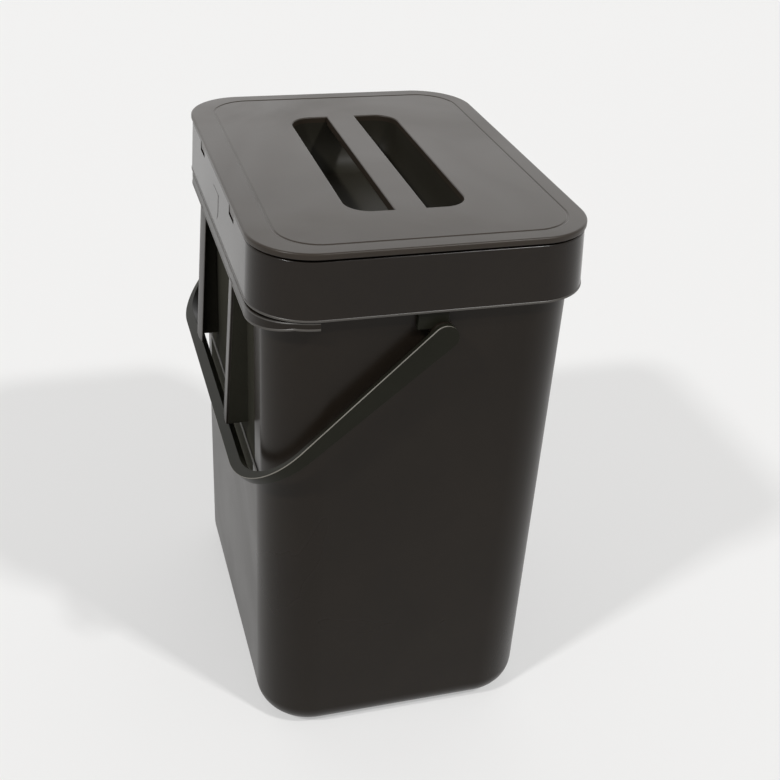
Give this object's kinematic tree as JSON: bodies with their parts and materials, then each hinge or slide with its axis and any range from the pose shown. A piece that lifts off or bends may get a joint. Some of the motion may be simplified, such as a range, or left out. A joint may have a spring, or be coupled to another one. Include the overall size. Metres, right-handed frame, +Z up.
{
  "type": "compost caddy",
  "caption": "Tall rounded bucket with a press-on collar, a flat lid hinged at the back with a recessed finger grip, and a swing-over bail handle.",
  "frame": {"origin": "middle of the underside, on the surface the caddy stands on", "axes": "+Z up, +Y towards the wall the caddy hangs on, +X along that wall"},
  "size_m": [0.2152, 0.1597, 0.27],
  "materials": {
    "bucket_plastic": "satin",
    "collar_plastic": "satin",
    "lid_plastic": "satin",
    "cup_plastic": "satin",
    "bail_plastic": "satin"
  },
  "bodies": {
    "bucket": {"bucket": "bucket_plastic"},
    "collar": {"collar": "collar_plastic"},
    "lid": {"lid": "lid_plastic", "grip_cup": "cup_plastic"},
    "bail": {"bail": "bail_plastic"}
  },
  "joints": [
    {"name": "collar_lift", "type": "slide", "parent": "bucket", "child": "collar", "axis": [0, 0, 1], "range_m": [0, 0.04]},
    {"name": "lid_hinge", "type": "hinge", "parent": "collar", "child": "lid", "pos_m": [0, 0.0732, 0.2634], "axis": [-1, 0, 0], "range_deg": [0, 100]},
    {"name": "bail_hinge", "type": "hinge", "parent": "bucket", "child": "bail", "pos_m": [0, -0.0048, 0.2284], "axis": [1, 0, 0], "range_deg": [0, 268]}
  ]
}
